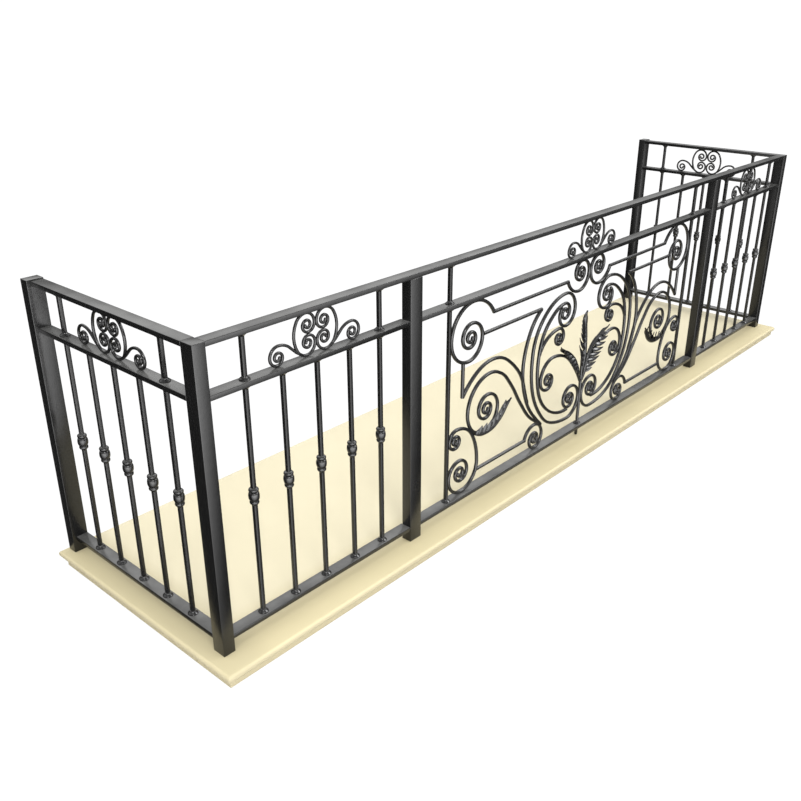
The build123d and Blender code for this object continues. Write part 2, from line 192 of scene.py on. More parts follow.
bump.inputs["Strength"].default_value = 0.08
bump.inputs["Distance"].default_value = 0.001
tree.links.new(grain.outputs[0], bump.inputs["Height"])
tree.links.new(bump.outputs["Normal"], body.inputs["Normal"])


# POSTS, RAILS AND SLAB
# Mill-rolled flat bar keeps a small radius on its corners, so each post and rail is its
# own bar with a 1.2 mm arris; the slab's courses get a slightly softer one.
def settled(name, mesh, material, node):
    """A finished mesh as a piece that stands for a CAD node."""
    piece = bpy.data.objects.new(name, mesh)
    bpy.context.scene.collection.objects.link(piece)
    mesh.materials.clear()
    mesh.materials.append(material)
    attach(piece, "root")
    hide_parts(node)
    return piece


def softened(node, material, arris):
    """The CAD solid with its sharp edges rounded."""
    work = bmesh.new()
    work.from_mesh(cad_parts[node].data)
    bmesh.ops.remove_doubles(work, verts=work.verts, dist=1e-6)
    bmesh.ops.dissolve_limit(work, angle_limit=radians(1), verts=work.verts, edges=work.edges)
    sharp = [e for e in work.edges if e.is_manifold and e.calc_face_angle() > radians(40)]
    bmesh.ops.bevel(
        work, geom=sharp, offset=arris, segments=3, profile=0.5, affect="EDGES", clamp_overlap=True
    )
    for face in work.faces:
        face.smooth = True
    mesh = bpy.data.meshes.new(node)
    work.to_mesh(mesh)
    work.free()
    mesh.set_sharp_from_angle(angle=radians(30))
    return settled(node + "_dressed", mesh, material, node)


flat_bars = [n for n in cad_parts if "post" in n or "rail" in n]
for node in sorted(flat_bars):
    softened(node, iron, 0.0012)
softened("slab_top", stone, 0.001)
softened("slab_lower", stone, 0.002)


# BALUSTERS
# Square bars with a bell-shaped collar forged on at each rail and, at mid height, a
# turned knuckle: a full barrel between two beads.
def turned(work, profile, steps=28):
    """Turns a (radius, height) profile about the bar's axis."""
    rings = []
    for r, z in profile:
        ring = [
            work.verts.new((r * cos(2 * pi * i / steps), r * sin(2 * pi * i / steps), z))
            for i in range(steps)
        ]
        rings.append(ring)
    for low_ring, high_ring in zip(rings, rings[1:]):
        for i in range(steps):
            j = (i + 1) % steps
            work.faces.new((low_ring[i], low_ring[j], high_ring[j], high_ring[i]))
    work.faces.new(list(reversed(rings[0])))
    work.faces.new(rings[-1])


def bead(low_z, high_z, root, crown, points=7):
    """Half-round swelling of a turned profile."""
    middle, reach = (low_z + high_z) / 2, (high_z - low_z) / 2
    turn = [pi * i / (points - 1) for i in range(points)]
    return [(root + (crown - root) * sin(a), middle - reach * cos(a)) for a in turn]


collar_radius = 0.0165
collar_height = 0.0105


def bell(foot, up):
    """Collar that flares towards the rail it sits on."""
    reach = [0, 0.25, 0.45, 0.65, 0.85, 1]
    flare = [collar_radius, collar_radius, 0.0148, 0.0118, 0.0098, 0.0092]
    steps = [(r, foot + up * collar_height * t) for r, t in zip(flare, reach)]
    return steps if up > 0 else list(reversed(steps))


def square_bar(work, foot, head):
    """Square bar with softened corners, upright."""
    corner_radius = 0.0012
    ring = []
    for k in range(4):
        cx = (half - corner_radius) * (1 if k in (0, 3) else -1)
        cy = (half - corner_radius) * (1 if k in (0, 1) else -1)
        for i in range(3):
            a = pi / 2 * k + pi / 4 * i
            ring.append((cx + corner_radius * cos(a), cy + corner_radius * sin(a)))
    low_ring = [work.verts.new((x, y, foot)) for x, y in ring]
    high_ring = [work.verts.new((x, y, head)) for x, y in ring]
    for i in range(len(ring)):
        j = (i + 1) % len(ring)
        work.faces.new((low_ring[i], low_ring[j], high_ring[j], high_ring[i]))
    work.faces.new(list(reversed(low_ring)))
    work.faces.new(high_ring)


knuckle_foot = deck + 0.445


def bar_template(name, foot, head, knuckle):
    """One upright bar about its own axis, to be set out along a rail."""
    work = bmesh.new()
    square_bar(work, foot, head)
    turned(work, bell(foot, 1))
    turned(work, bell(head, -1))
    if knuckle:
        base = knuckle_foot
        profile = [(0.0075, base), (0.0105, base + 0.004)]
        profile += bead(base + 0.005, base + 0.0165, 0.0115, 0.0148)
        profile += bead(base + 0.018, base + 0.0445, 0.0132, 0.0172, 11)
        profile += bead(base + 0.046, base + 0.0565, 0.0118, 0.0156)
        profile += [(0.0085, base + 0.058)]
        turned(work, profile)
    for face in work.faces:
        face.smooth = True
    mesh = bpy.data.meshes.new(name)
    work.to_mesh(mesh)
    work.free()
    mesh.set_sharp_from_angle(angle=radians(35))
    template = bpy.data.objects.new(name, mesh)
    bpy.context.scene.collection.objects.link(template)
    return template


def row_group():
    """Geometry nodes that set out copies of a template from a start, by a step."""
    group = bpy.data.node_groups.new("Bar row", "GeometryNodeTree")
    face = group.interface
    face.new_socket("Geometry", in_out="INPUT", socket_type="NodeSocketGeometry")
    ids = {}
    for label, kind in (
        ("Template", "NodeSocketObject"), ("Count", "NodeSocketInt"),
        ("Start", "NodeSocketVector"), ("Step", "NodeSocketVector"),
        ("Material", "NodeSocketMaterial"),
    ):
        ids[label] = face.new_socket(label, in_out="INPUT", socket_type=kind).identifier
    face.new_socket("Geometry", in_out="OUTPUT", socket_type="NodeSocketGeometry")
    n, link = group.nodes, group.links.new
    given, out = n.new("NodeGroupInput"), n.new("NodeGroupOutput")
    line, place = n.new("GeometryNodeMeshLine"), n.new("GeometryNodeInstanceOnPoints")
    info, real = n.new("GeometryNodeObjectInfo"), n.new("GeometryNodeRealizeInstances")
    paint = n.new("GeometryNodeSetMaterial")
    link(given.outputs["Count"], line.inputs["Count"])
    link(given.outputs["Start"], line.inputs["Start Location"])
    link(given.outputs["Step"], line.inputs["Offset"])
    link(given.outputs["Template"], info.inputs["Object"])
    link(line.outputs["Mesh"], place.inputs["Points"])
    link(info.outputs["Geometry"], place.inputs["Instance"])
    link(place.outputs["Instances"], real.inputs[0])
    link(real.outputs[0], paint.inputs["Geometry"])
    link(given.outputs["Material"], paint.inputs["Material"])
    link(paint.outputs[0], out.inputs[0])
    return group, ids


bar_row, row_ids = row_group()


def grown(carrier, group, ids, values):
    """Runs a geometry nodes group on an object and gives the plain mesh that it makes."""
    modifier = carrier.modifiers.new(group.name, "NODES")
    modifier.node_group = group
    for label, value in values.items():
        modifier[ids[label]] = value
    carrier.update_tag()
    bpy.context.view_layer.update()
    seen = carrier.evaluated_get(bpy.context.evaluated_depsgraph_get())
    mesh = bpy.data.meshes.new_from_object(seen)
    carrier.modifiers.remove(modifier)
    return mesh


def set_out(template, count, start, step):
    """A row of copies of a template, as a plain mesh."""
    carrier = bpy.data.objects.new("carrier", bpy.data.meshes.new("carrier"))
    bpy.context.scene.collection.objects.link(carrier)
    values = {"Template": template, "Count": count, "Start": start, "Step": step, "Material": iron}
    mesh = grown(carrier, bar_row, row_ids, values)
    bpy.data.objects.remove(carrier)
    return mesh


def joined(name, meshes):
    """Several meshes as one."""
    work = bmesh.new()
    for mesh in meshes:
        work.from_mesh(mesh)
    mesh = bpy.data.meshes.new(name)
    work.to_mesh(mesh)
    work.free()
    return mesh


def ironwork(node, meshes):
    """Meshes joined into the iron piece that stands for a node."""
    settled(node + "_dressed", joined(node, meshes), iron, node)


baluster = bar_template("baluster", panel_foot, panel_head, True)
tall_bar = bar_template("tall_bar", panel_foot, panel_head, False)
spindle = bar_template("spindle", frieze_foot, frieze_head, False)
for node in sorted(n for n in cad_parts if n.startswith("balusters")):
    low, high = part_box(node)
    axis = 0 if "front" in node else 1
    start = (low + high) / 2
    start[axis] = low[axis] + collar_radius
    start.z = 0
    step = Vector((0, 0, 0))
    step[axis] = (high[axis] - low[axis] - 2 * collar_radius) / 4
    ironwork(node, [set_out(baluster, 5, start, step), set_out(spindle, 2, start, step * 4)])
for node in ("end_bar_left", "end_bar_right"):
    low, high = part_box(node)
    start = (low + high) / 2
    start.z = 0
    ironwork(node, [set_out(tall_bar, 1, start, start), set_out(spindle, 1, start, start)])
for template in (baluster, tall_bar, spindle):
    bpy.data.objects.remove(template)


# FORGED BARS
# Every scroll is square bar bent on the flat. A path is a list of arcs and straights,
# (x, z, heading, size, turn), and the bar is drawn along it with hammered, rounded corners.
def end_of(step, share=1.0):
    x, z, heading, size, turn = step
    if not turn:
        reach = size * share
        return x + reach * cos(radians(heading)), z + reach * sin(radians(heading)), heading
    side = 90 if turn > 0 else -90
    cx = x + size * cos(radians(heading + side))
    cz = z + size * sin(radians(heading + side))
    away = radians(heading - side + turn * share)
    return cx + size * cos(away), cz + size * sin(away), heading + turn * share


def follow(x, z, heading, bends):
    path = []
    for size, turn in bends:
        path.append((x, z, heading, size, turn))
        x, z, heading = end_of(path[-1])
    return path


def curl(x, z, heading, radius, quarters, spin):
    """A volute wound inwards by quarter turns, each 0.8 of the last."""
    return follow(x, z, heading, [(radius * 0.8**i, 90 * spin) for i in range(quarters)])


def backwards(path):
    steps = []
    for step in reversed(path):
        x, z, heading = end_of(step)
        steps.append((x, z, heading + 180, step[3], -step[4]))
    return steps


def arc_to(x, z, heading, to_x, to_z):
    across = (to_z - z) * cos(radians(heading)) - (to_x - x) * sin(radians(heading))
    ahead = (to_x - x) * cos(radians(heading)) + (to_z - z) * sin(radians(heading))
    if abs(across) < 1e-9:
        return (x, z, heading, ahead, 0)
    radius = (across**2 + ahead**2) / (2 * abs(across))
    return (x, z, heading, radius, 2 * degrees(atan2(across, ahead)))


def ease(x, z, heading, to_x, to_z, to_heading):
    """Two arcs that join two points and meet the heading given at each."""
    ax, az = cos(radians(heading)), sin(radians(heading))
    bx, bz = cos(radians(to_heading)), sin(radians(to_heading))
    dx, dz = to_x - x, to_z - z
    spread = 1 - (ax * bx + az * bz)
    along = dx * (ax + bx) + dz * (az + bz)
    chord = dx * dx + dz * dz
    if spread < 1e-6:
        reach = chord / (2 * along)
    else:
        reach = (sqrt(along**2 + 2 * spread * chord) - along) / (2 * spread)
    mx = (x + reach * ax + to_x - reach * bx) / 2
    mz = (z + reach * az + to_z - reach * bz) / 2
    first = arc_to(x, z, heading, mx, mz)
    return [first, arc_to(mx, mz, end_of(first)[2], to_x, to_z)]


def through(points, heading, to_heading):
    """A smooth path through points, by pairs of arcs."""
    turns = [heading]
    for (ax, az), (bx, bz), (cx, cz) in zip(points, points[1:], points[2:]):
        into = degrees(atan2(bz - az, bx - ax))
        out = into + (degrees(atan2(cz - bz, cx - bx)) - into + 180) % 360 - 180
        over = into + (degrees(atan2(cz - az, cx - ax)) - into + 180) % 360 - 180
        turns.append(into + out - over)
    turns.append(to_heading)
    path = []
    for i in range(len(points) - 1):
        path += ease(*points[i], turns[i], *points[i + 1], turns[i + 1])
    return path


def walked(path, pace):
    """Points along a path, closer where it bends."""
    points = []
    for step in path:
        length = step[3] * (abs(radians(step[4])) if step[4] else 1)
        count = max(1, int(max(abs(step[4]) / 7.5, length / pace)))
        points += [end_of(step, i / count)[:2] for i in range(count)]
    return points + [end_of(path[-1])[:2]]


def forge_group():
    """Geometry nodes that draw square bar along a curve."""
    group = bpy.data.node_groups.new("Forged bar", "GeometryNodeTree")
    face = group.interface
    face.new_socket("Geometry", in_out="INPUT", socket_type="NodeSocketGeometry")
    ids = {}
    for label, kind in (
        ("Bar Size", "NodeSocketFloat"), ("Corner Radius", "NodeSocketFloat"),
        ("Material", "NodeSocketMaterial"),
    ):
        ids[label] = face.new_socket(label, in_out="INPUT", socket_type=kind).identifier
    face.new_socket("Geometry", in_out="OUTPUT", socket_type="NodeSocketGeometry")
    n, link = group.nodes, group.links.new
    given, out = n.new("NodeGroupInput"), n.new("NodeGroupOutput")
    square = n.new("GeometryNodeCurvePrimitiveQuadrilateral")
    fillet, radius = n.new("GeometryNodeFilletCurve"), n.new("GeometryNodeInputRadius")
    draw, smooth = n.new("GeometryNodeCurveToMesh"), n.new("GeometryNodeSetShadeSmooth")
    real, paint = n.new("GeometryNodeRealizeInstances"), n.new("GeometryNodeSetMaterial")
    fillet.mode = "POLY"
    fillet.inputs["Count"].default_value = 3
    draw.inputs["Fill Caps"].default_value = True
    link(given.outputs["Bar Size"], square.inputs["Width"])
    link(given.outputs["Bar Size"], square.inputs["Height"])
    link(square.outputs[0], fillet.inputs["Curve"])
    link(given.outputs["Corner Radius"], fillet.inputs["Radius"])
    link(given.outputs["Geometry"], draw.inputs["Curve"])
    link(fillet.outputs[0], draw.inputs["Profile Curve"])
    link(radius.outputs[0], draw.inputs["Scale"])
    link(draw.outputs[0], smooth.inputs["Geometry"])
    link(smooth.outputs[0], real.inputs[0])
    link(real.outputs[0], paint.inputs["Geometry"])
    link(given.outputs["Material"], paint.inputs["Material"])
    link(paint.outputs[0], out.inputs[0])
    return group, ids


forge, forge_ids = forge_group()
# How a free end is dressed: distance past the end and thickness left, as shares of the bar
nose_marks = ((0.2, 0.93), (0.36, 0.76), (0.46, 0.5), (0.5, 0.2))
hammered = 0.38  # corner radius of a scroll's bar, as a share of the bar


def forged(runs, size, y, side=1, turn_on=None):
    """Bars drawn along runs of (path, nose at the start, nose at the end).

    side -1 gives the mirror image, and turn_on maps (x, z) to a place in space."""
    data = bpy.data.curves.new("run", "CURVE")
    data.dimensions = "3D"
    for path, nose_start, nose_end in runs:
        points = walked(path, 0.02)
        nose = [1.0] * len(points)
        for wanted, order in ((nose_start, 0), (nose_end, -1)):
            if not wanted:
                continue
            (ax, az), (bx, bz) = (points[0], points[1]) if order == 0 else (points[-1], points[-2])
            length = hypot(ax - bx, az - bz)
            ux, uz = (ax - bx) / length, (az - bz) / length
            added = [(ax + ux * size * out, az + uz * size * out) for out, _ in nose_marks]
            shrink = [left for _, left in nose_marks]
            if order == 0:
                points, nose = added[::-1] + points, shrink[::-1] + nose
            else:
                points, nose = points + added, nose + shrink
        spline = data.splines.new("POLY")
        spline.points.add(len(points) - 1)
        for point, (x, z), r in zip(spline.points, points, nose):
            place = turn_on(side * x, z) if turn_on else (side * x, y, z)
            point.co = (*place, 1)
            point.radius = r
    carrier = bpy.data.objects.new("run", data)
    bpy.context.scene.collection.objects.link(carrier)
    values = {"Bar Size": size, "Corner Radius": size * hammered, "Material": iron}
    mesh = grown(carrier, forge, forge_ids, values)
    bpy.data.objects.remove(carrier)
    return mesh


# CRESTS
# Two C scrolls back to back with a tailed curl each side, of lighter bar, standing
# between middle rail and hand rail in the middle of every bay.
crest_bar = 0.009
crest_half_width = 0.0855
crest_tail_reach = 0.1775
crest_tail = 0.234 * (frieze_head - frieze_foot)
first_curl = 0.57  # the first quarter of a curl, as a share of the room it has


def crest_runs():
    low = frieze_foot + seat + crest_bar / 2
    high = frieze_head - seat - crest_bar / 2
    middle = (low + high) / 2
    room = middle - low - crest_bar / 2 - seat
    first = first_curl * room
    eye_x = 0.0004 - crest_bar / 2 - first
    top = curl(eye_x, high, 0, first, 1, -1)
    top += curl(*end_of(top[-1]), room - first, 6, -1)
    foot = curl(eye_x, low, 0, first, 1, 1)
    foot += curl(*end_of(foot[-1]), room - first, 6, 1)
    back = ease(eye_x, high, 180, -crest_half_width, middle, 270)
    back += ease(-crest_half_width, middle, 270, eye_x, low, 360)
    tail_x = -crest_tail_reach + crest_tail
    tail_top = low + crest_tail * 1.8
    joint_x, joint_z, along = end_of(back[-1], 0.6)
    tail = backwards(curl(tail_x, tail_top, 180, crest_tail, 7, 1))
    tail += ease(tail_x, tail_top, 0, joint_x, joint_z, along - 5)
    return [(backwards(top) + back + foot, True, True), (tail, True, False)]


for node in sorted(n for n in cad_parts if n.startswith("crest")):
    low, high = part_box(node)
    centre = (low + high) / 2
    if "side" in node:
        place = lambda x, z, c=centre: (c.x, c.y + x, z)
    else:
        place = lambda x, z, c=centre: (c.x + x, c.y, z)
    ironwork(node, [forged(crest_runs(), crest_bar, 0, side, place) for side in (1, -1)])

# SCROLLWORK
# The middle bay: ring volutes and S scrolls outside, a lyre in the middle, and small
# volutes in the corners, all of one size of bar and forge-welded where they run together.
end_x = -(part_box("end_bar_left")[0].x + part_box("end_bar_left")[1].x) / 2
rail_y = (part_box("end_bar_left")[0].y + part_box("end_bar_left")[1].y) / 2
touch_left = -end_x + bar + seat
touch_top = panel_head - seat - half
touch_foot = panel_foot + seat + half
touch_middle = -half - seat


def at(across, up):
    """A point of the panel, as percentages of its half width from the middle and its height."""
    return -end_x * across / 100, panel_foot + (panel_head - panel_foot) * up / 100


def tall(share):
    return (panel_head - panel_foot) * share / 100


def ring_runs():
    ring, arch_radius, hanging, kink, lap = 0.125, 0.138, 0.071, 0.093, 0.0035
    top_x = touch_left + ring
    arch = backwards(curl(top_x, touch_top, 180, ring, 11, 1))
    arch += follow(top_x, touch_top, 0, [(arch_radius, -60.5)])
    kink_x, kink_z, _ = end_of(arch[-1])
    base_x = touch_middle - hanging
    base_z = touch_top - hanging * 1.8
    turn = degrees(acos(1 - (kink_z - base_z) / kink))
    turn_x = base_x - kink * sin(radians(turn))
    arch += follow(*end_of(arch[-1]), [(lap, 0)])
    straight = [(kink_x - 0.003, kink_z, 0, turn_x - kink_x + 0.006, 0)]
    back_x, back_z = lap * cos(radians(turn)), lap * sin(radians(turn))
    low = follow(turn_x - back_x, kink_z + back_z, -turn, [(lap, 0)])
    low += follow(turn_x, kink_z, -turn, [(kink, turn)])
    low += curl(base_x, base_z, 0, hanging, 9, 1)
    return [(arch, True, False), (straight, False, False), (low, False, True)]


def s_runs():
    tip = at(37.4, 80.9)
    flat = [(*at(78.2, 80.9), 0, tip[0] - at(78.2, 0)[0], 0)]
    side = through([tip, at(48.7, 57.2), at(44.9, 31.1), at(33, 14)], 214, -43)
    spear = at(90.9, 52.3)
    upright = [(spear[0], at(0, 70)[1], 270, at(0, 70)[1] - spear[1], 0)]
    outer = through([spear, at(71.3, 65.4), at(52.6, 52.2), at(44.5, 31.1)], 52, -67)
    eye = at(87.1, 41.5)
    inner = backwards(curl(*eye, 270, tall(13.6), 10, 1))
    inner += through(
        [
            eye, at(71.3, 58.5), at(64.4, 55.2), at(57.2, 46),
            at(50.2, 33.6), at(42.1, 21.5), at(32.5, 13.2),
        ],
        90,
        -38,
    )
    return [
        (flat, False, False), (side, False, False), (upright, False, False),
        (outer, False, False), (inner, True, False),
    ]


def lyre_runs():
    top = at(18.8, 84)
    turned_in = curl(*top, 0, tall(10.3), 3, -1)
    turned_in += follow(*end_of(turned_in[-1]), [(tall(5.3), -50)])
    outer = backwards(turned_in)
    outer += through([top, at(38.5, 70.2), at(42.4, 48), at(36.5, 24.6), at(24.5, 10.7)], 180, -22)
    base = at(10.4, 7.5)
    outer += ease(*at(24.5, 10.7), -22, *base, 0)
    outer += curl(*base, 0, tall(10.7), 10, 1)
    top = at(18.8, 78.5)
    inner = backwards(curl(*top, 0, tall(4.8), 5, -1))
    inner += through([top, at(31.8, 70.2), at(37.7, 48), at(31.8, 24.6), at(10.8, 13.4)], 180, 4)
    crown = at(22.6, 65.5)
    hook = ease(*at(37, 55), 68, *crown, 0)
    hook += curl(*crown, 0, tall(5.1), 7, -1)
    return [(outer, True, True), (inner, True, False), (hook, False, True)]


def middle_runs():
    crown = at(25.5, 50.1)
    path = ease(*at(0.6, 27.1), 120, *crown, 180)
    path += curl(*crown, 180, tall(11.1), 1, 1)
    path += curl(*end_of(path[-1]), tall(6.5), 1, 1)
    path += curl(*end_of(path[-1]), tall(4.7), 6, 1)
    return [(path, False, True)]


def corner_runs():
    top_radius, low_radius = tall(5.4), tall(12.4)
    top = (touch_left + top_radius, at(0, 36.5)[1])
    low = (touch_left + low_radius * 0.8, touch_foot)
    back = (low[0] + low_radius, touch_foot + low_radius)
    path = backwards(curl(*top, 180, top_radius, 7, 1))
    path += ease(*top, 0, *back, 270)
    path += curl(*back, 270, low_radius, 10, -1)
    return [(path, True, True)]


def foot_runs():
    radius = tall(7.9)
    crown = (at(31.3, 0)[0] - radius, touch_foot + radius * 1.8)
    low_z = at(0, 8.5)[1]
    kink_radius = tall(8.7)
    turn = degrees(acos(1 - (crown[1] - low_z) / kink_radius))
    kink_x = crown[0] - kink_radius * sin(radians(turn))
    start, lap = at(79.9, 0)[0], 0.004
    flat = [(start, low_z, 0, kink_x - start + lap, 0)]
    back_x, back_z = lap * cos(radians(turn)), lap * sin(radians(turn))
    rise = follow(kink_x - back_x, low_z - back_z, turn, [(lap, 0)])
    rise += follow(kink_x, low_z, turn, [(kink_radius, -turn)])
    rise += curl(*crown, 0, radius, 9, -1)
    return [(flat, False, False), (rise, False, True)]


# ACANTHUS LEAVES
# Chased leaves: a rolled rib that swells over the bar and hooks at its tip, and pointed
# lobes along one side, ridged and lapped like feathers, that lean to the tip and curl
# forward to the street.
def tube(work, rings, side):
    """Closes a run of rings of points, across in the panel and out of it, into a solid."""
    loops = [[work.verts.new((side * x, y, z)) for x, y, z in ring] for ring in rings]
    count = len(loops[0])
    for low_loop, high_loop in zip(loops, loops[1:]):
        for j in range(count):
            k = (j + 1) % count
            work.faces.new((low_loop[j], low_loop[k], high_loop[k], high_loop[j]))
    work.faces.new(loops[0])
    work.faces.new(loops[-1])


def rib(work, spine, widths, side, stations=32, sides=12):
    """A rolled rib; widths gives share of its length, half width, half depth, distance back."""
    lengths = [s[3] * (abs(radians(s[4])) if s[4] else 1) for s in spine]
    total, rings = sum(lengths), []
    for i in range(stations + 1):
        t = i / stations
        left_over = total * t
        for step, length in zip(spine, lengths):
            if left_over <= length or step is spine[-1]:
                x, z, heading = end_of(step, min(1.0, left_over / length))
                break
            left_over -= length
        k = max(n for n in range(len(widths) - 1) if widths[n][0] <= t)
        low_mark, high_mark = widths[k], widths[k + 1]
        share = (t - low_mark[0]) / (high_mark[0] - low_mark[0])
        share = share * share * (3 - 2 * share)
        wide, deep, back = (m + (n - m) * share for m, n in zip(low_mark[1:], high_mark[1:]))
        nx, nz = -sin(radians(heading)), cos(radians(heading))
        ring = []
        for j in range(sides):
            turn = 2 * pi * j / sides
            out = wide * cos(turn)
            ring.append((x + nx * out, rail_y + back + deep * sin(turn), z + nz * out))
        rings.append(ring)
    tube(work, rings, side)


# A lobe's section: share of its half width, and 1 on the front, -1 on the back, 0 on an edge
lobe_section = ((-1, 0), (-0.55, 1), (0.1, 1), (0.6, 1), (1, 0), (0.5, -1), (-0.5, -1))
lobe_seat, lobe_ridge, lobe_back = 0.002, 0.0042, 0.0022


def lobe(work, root, tip, half_width, forward, tilt, side, stations=8):
    """A pointed lobe from root to tip, bowed, ridged in front, with its lower edge forward."""
    dx, dz = tip[0] - root[0], tip[1] - root[1]
    length = hypot(dx, dz)
    ax, az = dx / length, dz / length
    nx, nz = (-az, ax) if ax > 0 else (az, -ax)
    rings = []
    for i in range(stations + 1):
        u = i / stations
        bow = -0.10 * length * sin(pi * u)
        cx, cz = root[0] + dx * u + nx * bow, root[1] + dz * u + nz * bow
        wide = half_width * max(0.05, (1 - u) ** 0.6 * (0.7 + 0.9 * u * (1 - u)))
        cy = rail_y - lobe_seat - forward * u**1.3
        ridge = lobe_ridge * (1 - 0.6 * u)
        ring = []
        for v, front in lobe_section:
            y = cy + tilt * wide * v
            if front > 0:
                y -= ridge * (1 - abs(v) ** 1.5)
            elif front < 0:
                y += lobe_back
            ring.append((cx + nx * wide * v, y, cz + nz * wide * v))
        rings.append(ring)
    tube(work, rings, side)


def leaf(spine, widths, marks, half_width, forward, tilt, side):
    """One leaf; marks gives the root and the tip of each lobe, in percentages of the panel."""
    work = bmesh.new()
    rib(work, spine, widths, side)
    for root_across, root_up, tip_across, tip_up in marks:
        root, tip = at(root_across, root_up), at(tip_across, tip_up)
        lobe(work, root, tip, half_width, forward, tilt, side)
    bmesh.ops.recalc_face_normals(work, faces=work.faces)
    for face in work.faces:
        face.smooth = True
    mesh = bpy.data.meshes.new("leaf")
    work.to_mesh(mesh)
    work.free()
    mesh.set_sharp_from_angle(angle=radians(42))
    return mesh


def s_leaf(side):
    points = [
        at(82.5, 29.6), at(76, 27.2), at(69.5, 28.2), at(65, 31.6), at(61.8, 36.2), at(58.6, 40.1),
    ]
    widths = [
        (0, 0.006, 0.0066, 0), (0.2, 0.0105, 0.009, 0), (0.55, 0.0125, 0.0105, 0),
        (0.82, 0.012, 0.0095, -0.004), (1, 0.0035, 0.003, -0.012),
    ]
    marks = [
        (82, 29.4, 80.4, 31.2), (80.5, 28.4, 78.4, 32.8), (77.5, 27.4, 75.2, 33.0),
        (74, 27.2, 72.2, 33.4), (71, 28, 69.3, 34.2), (68, 29.4, 66.6, 36.2),
        (65.2, 32, 64.6, 38.4), (63.2, 34.5, 62.4, 40.4),
    ]
    return leaf(through(points, -28, 40), widths, marks, 0.0125, 0.011, 0.6, side)


def middle_leaf(side):
    points = [
        at(1.8, 30.2), at(3.7, 36.4), at(6.4, 41.7), at(10.6, 46.3), at(16, 50), at(21.1, 54.6),
    ]
    widths = [
        (0, 0.006, 0.0066, 0), (0.25, 0.0085, 0.008, 0.002), (0.6, 0.0105, 0.0085, 0.007),
        (0.85, 0.0085, 0.007, 0.004), (1, 0.0018, 0.002, -0.010),
    ]
    marks = [
        (2.4, 32.4, 5.4, 34.0), (3.3, 35.0, 8.7, 36.4), (4.5, 37.9, 11.4, 38.9),
        (6.0, 40.6, 12.8, 41.2), (8.0, 43.2, 14.5, 43.3), (10.5, 45.6, 16.3, 45.9),
        (13.4, 47.8, 18.0, 48.9), (16.2, 49.6, 19.6, 51.8),
    ]
    return leaf(through(points, 118, 118), widths, marks, 0.0125, 0.021, 0.7, side)


def upright_leaf():
    points = [
        at(0, 29), at(-0.9, 36), at(-1.7, 42), at(-1.5, 49.4), at(-0.6, 57.3), at(0.3, 62.4),
        at(-0.5, 68.8),
    ]
    widths = [
        (0, 0.0055, 0.006, 0), (0.3, 0.0105, 0.008, 0), (0.7, 0.0115, 0.008, 0),
        (0.88, 0.015, 0.009, -0.001), (1, 0.003, 0.003, -0.004),
    ]
    marks = [
        (-0.6, 36.8, 1.6, 41.6), (-1.0, 39.6, 3.0, 45.9), (-1.4, 42.2, 4.5, 50.0),
        (-1.5, 46.6, 4.7, 54.5), (-1.2, 51, 3.9, 57.2), (-1.0, 54, 3.8, 59.8),
        (-0.8, 56.6, 3.8, 62.1), (-0.6, 59, 3.7, 64.3), (-0.4, 61.4, 3.2, 66.2),
    ]
    return leaf(through(points, 90, 40), widths, marks, 0.018, 0.004, 0.3, 1)


scrolls = {
    "ring_scroll": ring_runs(), "s_scroll": s_runs(), "lyre_scroll": lyre_runs(),
    "middle_scroll": middle_runs(), "corner_scroll": corner_runs(), "foot_scroll": foot_runs(),
}
for name, runs in scrolls.items():
    for hand, side in (("left", 1), ("right", -1)):
        node = f"{name}_{hand}"
        meshes = [forged(runs, bar, rail_y, side)]
        if name == "s_scroll":
            meshes.append(s_leaf(side))
        elif name == "middle_scroll":
            meshes.append(middle_leaf(side))
        ironwork(node, meshes)

# STALK
# Square stalk through a collar on the bottom rail, pointed under it, with the upright leaf.
rod = [(0.0, panel_foot, 90, at(0, 44)[1] - panel_foot, 0)]
rail_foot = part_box("bottom_rail_centre")[0].z
spike = [(0.0, rail_foot, 270, rail_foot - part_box("stalk")[0].z - half, 0)]
rod_mesh = forged([(rod, False, True), (spike, False, True)], bar, rail_y)
work = bmesh.new()
turned(work, bell(panel_foot, 1))
for vert in work.verts:
    vert.co.y += rail_y
collar_mesh = bpy.data.meshes.new("stalk_collar")
work.to_mesh(collar_mesh)
work.free()
ironwork("stalk", [rod_mesh, collar_mesh, upright_leaf()])

# FLOOR
# Pale paper floor, white to the camera. In the sheen of the paint it is dark towards the
# house and glows to the front left, so that rounded bars catch a light down their faces
# while the flat sides of the posts stay dark.
floor_mesh = bpy.data.meshes.new("floor")
reach = 400
edge = [(-reach, -reach, 0), (reach, -reach, 0), (reach, reach, 0), (-reach, reach, 0)]
floor_mesh.from_pydata(edge, [], [(0, 1, 2, 3)])
floor = bpy.data.objects.new("floor", floor_mesh)
bpy.context.scene.collection.objects.link(floor)
pale = bpy.data.materials.new("pale_floor")
pale.use_nodes = True
tree = pale.node_tree
ground = tree.nodes["Principled BSDF"]
ground.inputs["Roughness"].default_value = 1.0
ground.inputs["Specular IOR Level"].default_value = 0.0
rays, ray = tree.nodes.new("ShaderNodeLightPath"), tree.nodes.new("ShaderNodeNewGeometry")
lean, out_front = tree.nodes.new("ShaderNodeVectorMath"), tree.nodes.new("ShaderNodeMapRange")
lean.operation = "DOT_PRODUCT"
lean.inputs[1].default_value = (0.45, 0.85, -0.5)
tree.links.new(ray.outputs["Incoming"], lean.inputs[0])
tree.links.new(lean.outputs["Value"], out_front.inputs["Value"])
out_front.inputs["From Min"].default_value = -0.2
out_front.inputs["From Max"].default_value = 0.77
brightest = 7
out_front.inputs["To Max"].default_value = sqrt(brightest)
steep, glow = tree.nodes.new("ShaderNodeMath"), tree.nodes.new("ShaderNodeMath")
steep.operation, glow.operation = "MULTIPLY", "MULTIPLY_ADD"
